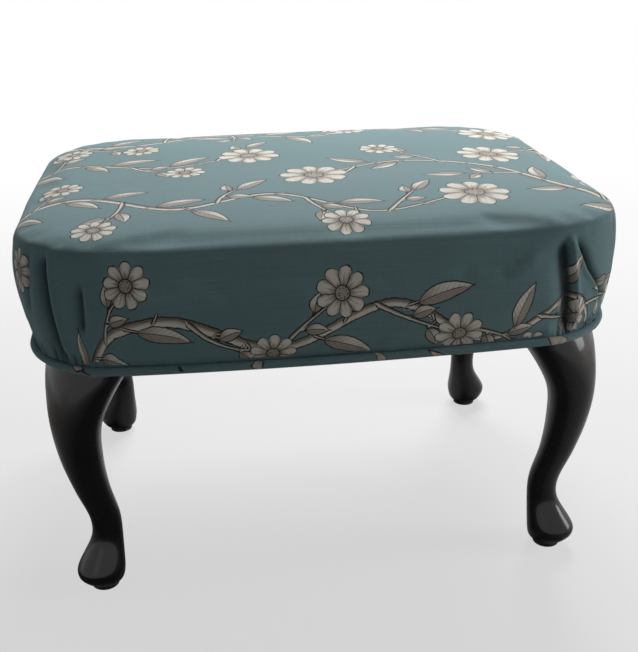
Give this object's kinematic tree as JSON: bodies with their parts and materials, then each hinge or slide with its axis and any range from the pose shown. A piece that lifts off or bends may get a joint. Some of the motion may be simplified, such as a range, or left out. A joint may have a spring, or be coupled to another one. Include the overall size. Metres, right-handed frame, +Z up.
{
  "type": "upholstered footstool",
  "caption": "Rectangular upholstered footstool with a crowned piped seat on short dark cabriole legs.",
  "frame": {"origin": "on the floor under the middle of the seat", "axes": "+X along the length of the seat, +Y to the back, +Z up"},
  "size_m": [0.471, 0.368, 0.3079],
  "materials": {
    "printed_cloth": "matt woven",
    "ebonised_wood": "gloss lacquer",
    "beech": "planed, unfinished",
    "steel": "zinc plated",
    "nylon": "moulded",
    "jute": "woven",
    "hessian": "open weave",
    "foam": "open cell",
    "wadding": "fleecy",
    "cotton_cord": "twisted",
    "cambric": "matt woven"
  },
  "bodies": {
    "root": {"leg_front_left": "ebonised_wood", "leg_front_right": "ebonised_wood", "leg_back_right": "ebonised_wood", "leg_back_left": "ebonised_wood", "foot_glides": "nylon", "hanger_bolts": "steel", "threaded_inserts": "steel", "corner_tenons": "beech", "webbing_staples": "steel", "cover_staples": "steel", "dust_cover_staples": "steel", "rail_front": "beech", "rail_back": "beech", "rail_left": "beech", "rail_right": "beech", "corner_block_front_left": "beech", "corner_block_front_right": "beech", "corner_block_back_right": "beech", "corner_block_back_left": "beech", "webbing_long_1": "jute", "webbing_long_2": "jute", "webbing_long_3": "jute", "webbing_cross_1": "jute", "webbing_cross_2": "jute", "webbing_cross_3": "jute", "webbing_cross_4": "jute", "hessian": "hessian", "foam_pad": "foam", "wadding": "wadding", "seat_cover": "printed_cloth", "piping_cord": "cotton_cord", "piping_cover": "printed_cloth", "dust_cover": "cambric"}
  },
  "joints": []
}
